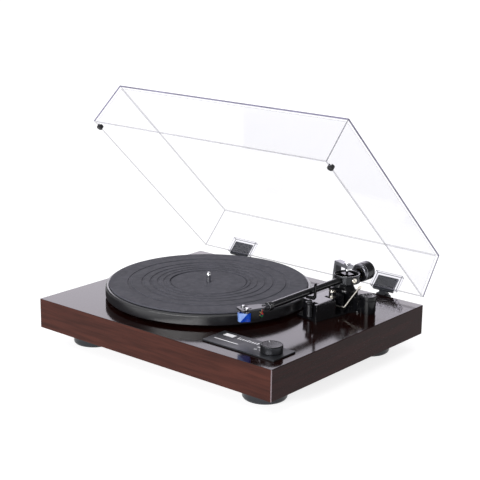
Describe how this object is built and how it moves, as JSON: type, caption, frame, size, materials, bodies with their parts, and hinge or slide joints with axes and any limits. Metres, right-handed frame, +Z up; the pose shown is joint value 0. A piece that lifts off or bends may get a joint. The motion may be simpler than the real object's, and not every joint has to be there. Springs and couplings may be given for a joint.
{
  "type": "turntable record player",
  "caption": "Direct-drive turntable on a glossy veneered plinth: cast platter with rubber mat, gimballed straight tonearm, speed knob, round feet and a clear hinged dust cover.",
  "frame": {"origin": "on the floor, at the middle of the outline of the whole object with its cover open", "axes": "+X to the right seen from the front, +Y towards the rear where the hinges are, +Z up"},
  "size_m": [0.435, 0.4048, 0.3651],
  "materials": {
    "veneer": "high gloss lacquer over dark reddish veneer",
    "board": "matt",
    "foot_black": "satin",
    "platter_black": "black satin paint on a casting",
    "rubber": "matt",
    "black_plastic": "satin",
    "hinge_black": "moulded, matt",
    "black_anodised": "satin anodised",
    "weight_black": "satin black plating",
    "steel": "polished",
    "satin_metal": "satin",
    "brass": "plated",
    "iron": "sintered",
    "circuit": "solder mask",
    "acrylic": "clear, polished",
    "stylus_blue": "translucent, polished",
    "lead_insulation": "soft insulation in four colours"
  },
  "bodies": {
    "chassis": {"plinth": "veneer", "bottom_cover": "board", "foot_front_left": "foot_black", "foot_front_right": "foot_black", "foot_rear_left": "foot_black", "foot_rear_right": "foot_black", "motor_stator": "satin_metal", "main_bearing": "brass", "control_panel": "black_anodised", "speed_switch": "black_plastic", "control_board": "circuit", "jack_plate": "black_anodised", "phono_jack_left": "brass", "phono_jack_right": "brass", "power_inlet": "black_plastic", "arm_base": "black_plastic", "arm_pillar": "black_plastic", "pivot_bracket": "black_anodised", "upper_pivot_screw": "steel", "arm_rest_post": "black_anodised", "arm_rest_clip": "black_plastic", "antiskate_tower": "black_plastic", "hinge_bracket_left": "hinge_black", "hinge_bracket_right": "hinge_black", "hinge_pin_left": "steel", "hinge_pin_right": "steel"},
    "turning_platter": {"platter": "platter_black", "platter_mat": "rubber", "spindle": "steel", "rotor_magnet": "iron"},
    "knob": {"speed_knob": "black_anodised"},
    "cover": {"dust_cover": "acrylic", "rubber_stop_left": "rubber", "rubber_stop_right": "rubber", "hinge_pocket_left": "acrylic", "hinge_pocket_right": "acrylic", "hinge_tongue_left": "hinge_black", "hinge_tongue_right": "hinge_black"},
    "arm_carrier": {"bearing_block": "satin_metal", "pivot_shaft": "steel"},
    "tonearm": {"gimbal_ring": "black_anodised", "bearing_screw_right": "steel", "bearing_screw_left": "steel", "arm_tube": "black_anodised", "headshell_collar": "black_anodised", "headshell": "satin_metal", "cartridge_screw_inner": "steel", "cartridge_screw_outer": "steel", "cartridge_body": "black_plastic", "stylus_unit": "stylus_blue", "headshell_leads": "lead_insulation", "counterweight_stub": "black_anodised"},
    "weight_sleeve": {"counterweight_sleeve": "brass"},
    "weight": {"counterweight": "weight_black"},
    "force_scale": {"scale_ring": "satin_metal"},
    "antiskate_knob": {"antiskate_dial": "black_plastic"},
    "cue": {"cue_lever": "steel"},
    "lift": {"lift_bar": "satin_metal"},
    "ground_terminal": {"ground_nut": "brass"},
    "output_slider": {"output_switch_slider": "black_plastic"}
  },
  "joints": [
    {"name": "platter_spin", "type": "hinge", "parent": "chassis", "child": "turning_platter", "pos_m": [-0.0453, -0.0242, 0.0782], "axis": [0, 0, -1], "continuous": true},
    {"name": "speed_turn", "type": "hinge", "parent": "chassis", "child": "knob", "pos_m": [0.1806, -0.1564, 0.0732], "axis": [0, 0, -1], "range_deg": [0, 120]},
    {"name": "cover_hinge", "type": "hinge", "parent": "chassis", "child": "cover", "pos_m": [0, 0.1598, 0.06212], "axis": [1, 0, 0], "range_deg": [0, 43.9]},
    {"name": "arm_swing", "type": "hinge", "parent": "chassis", "child": "arm_carrier", "pos_m": [0.1288, 0.0814, 0.1074], "axis": [0, 0, -1], "range_deg": [0, 42]},
    {"name": "arm_lift", "type": "hinge", "parent": "arm_carrier", "child": "tonearm", "pos_m": [0.1288, 0.0814, 0.1074], "axis": [-0.9373, 0.3486, 0], "range_deg": [0, 6]},
    {"name": "weight_slide", "type": "slide", "parent": "tonearm", "child": "weight_sleeve", "axis": [0, -1, 0], "range_m": [-0.002, 0.002]},
    {"name": "weight_turn", "type": "hinge", "parent": "weight_sleeve", "child": "weight", "pos_m": [0.1288, 0.125, 0.1074], "axis": [0, -1, 0], "range_deg": [-360, 360]},
    {"name": "scale_ring_turn", "type": "hinge", "parent": "weight", "child": "force_scale", "pos_m": [0.1288, 0.113, 0.1074], "axis": [0, -1, 0], "continuous": true},
    {"name": "antiskate_turn", "type": "hinge", "parent": "chassis", "child": "antiskate_knob", "pos_m": [0.178, 0.0666, 0.0902], "axis": [0, 0, -1], "range_deg": [0, 270]},
    {"name": "cue_turn", "type": "hinge", "parent": "chassis", "child": "cue", "pos_m": [0.1545, 0.0396, 0.0767], "axis": [1, 0, 0], "range_deg": [0, 60]},
    {"name": "lift_slide", "type": "slide", "parent": "chassis", "child": "lift", "axis": [0, 0, 1], "range_m": [0, 0.005]},
    {"name": "ground_nut_turn", "type": "hinge", "parent": "chassis", "child": "ground_terminal", "pos_m": [0.106, 0.156, 0.0452], "axis": [0, 1, 0], "continuous": true},
    {"name": "output_switch_slide", "type": "slide", "parent": "chassis", "child": "output_slider", "axis": [0, 0, 1], "range_m": [0, 0.004]}
  ],
  "couplings": [
    {"joint": "lift_slide", "follows": "cue_turn", "m_per_rad": 0.0047746},
    {"joint": "weight_slide", "follows": "weight_turn", "m_per_rad": 0.0003183}
  ]
}
